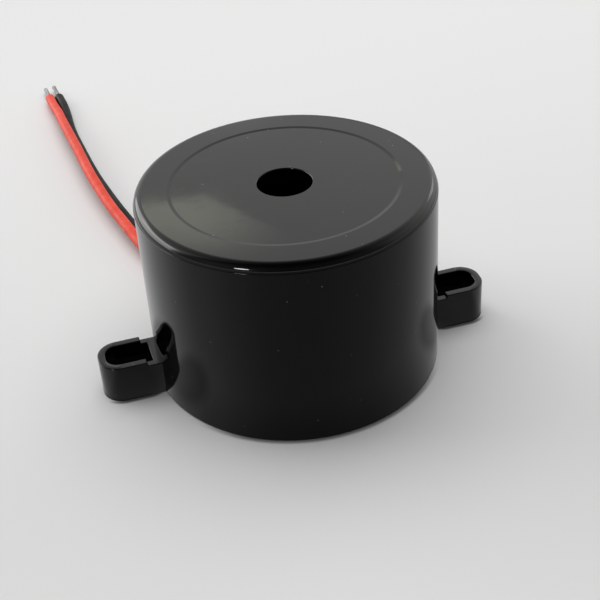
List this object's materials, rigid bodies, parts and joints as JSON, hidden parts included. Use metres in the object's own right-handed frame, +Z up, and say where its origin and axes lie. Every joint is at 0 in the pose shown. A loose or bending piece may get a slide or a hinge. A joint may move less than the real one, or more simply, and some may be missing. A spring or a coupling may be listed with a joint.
{
  "type": "piezo buzzer",
  "caption": "Round potted piezo buzzer with built-in drive circuit, a central sound hole, side screw ears and free red and black leads.",
  "frame": {"origin": "centre of the can's rim, on the surface that it stands on", "axes": "+Z up along the can's axis and out of the sound hole, X through both ears, +Y towards the side where the leads leave"},
  "size_m": [0.042, 0.0899, 0.0205],
  "materials": {
    "black_moulding": "gloss",
    "disc_brass": "satin",
    "silicone": "satin",
    "piezo_ceramic": "matte",
    "silver_coat": "satin",
    "solder": "satin",
    "board_paper": "matte",
    "copper": "satin",
    "ferrite": "matte",
    "enamelled_copper": "gloss",
    "shrink_sleeve": "satin",
    "tinned_wire": "satin",
    "transistor_epoxy": "matte",
    "resistor_coat": "gloss",
    "diode_epoxy": "satin",
    "capacitor_coat": "satin",
    "black_wire": "satin",
    "red_wire": "satin",
    "blue_wire": "satin",
    "potting_epoxy": "gloss"
  },
  "bodies": {
    "root": {"housing": "black_moulding", "piezo_plate": "disc_brass", "glue_bead": "silicone", "piezo_ceramic": "piezo_ceramic", "main_electrode": "silver_coat", "feedback_electrode": "silver_coat", "disc_solder": "solder", "driver_board": "board_paper", "board_copper": "copper", "board_solder": "solder", "choke_core": "ferrite", "choke_winding": "enamelled_copper", "choke_sleeve": "shrink_sleeve", "choke_pins": "tinned_wire", "transistor_body": "transistor_epoxy", "transistor_legs": "tinned_wire", "bias_resistor": "resistor_coat", "bias_resistor_wires": "tinned_wire", "feedback_resistor": "resistor_coat", "feedback_resistor_wires": "tinned_wire", "input_diode": "diode_epoxy", "input_diode_wires": "tinned_wire", "capacitor_body": "capacitor_coat", "capacitor_legs": "tinned_wire", "ground_wire": "black_wire", "main_wire": "red_wire", "feedback_wire": "blue_wire", "potting": "potting_epoxy", "red_lead": "red_wire", "black_lead": "black_wire", "lead_cores": "tinned_wire", "red_lead_tip": "tinned_wire", "black_lead_tip": "tinned_wire"}
  },
  "joints": []
}
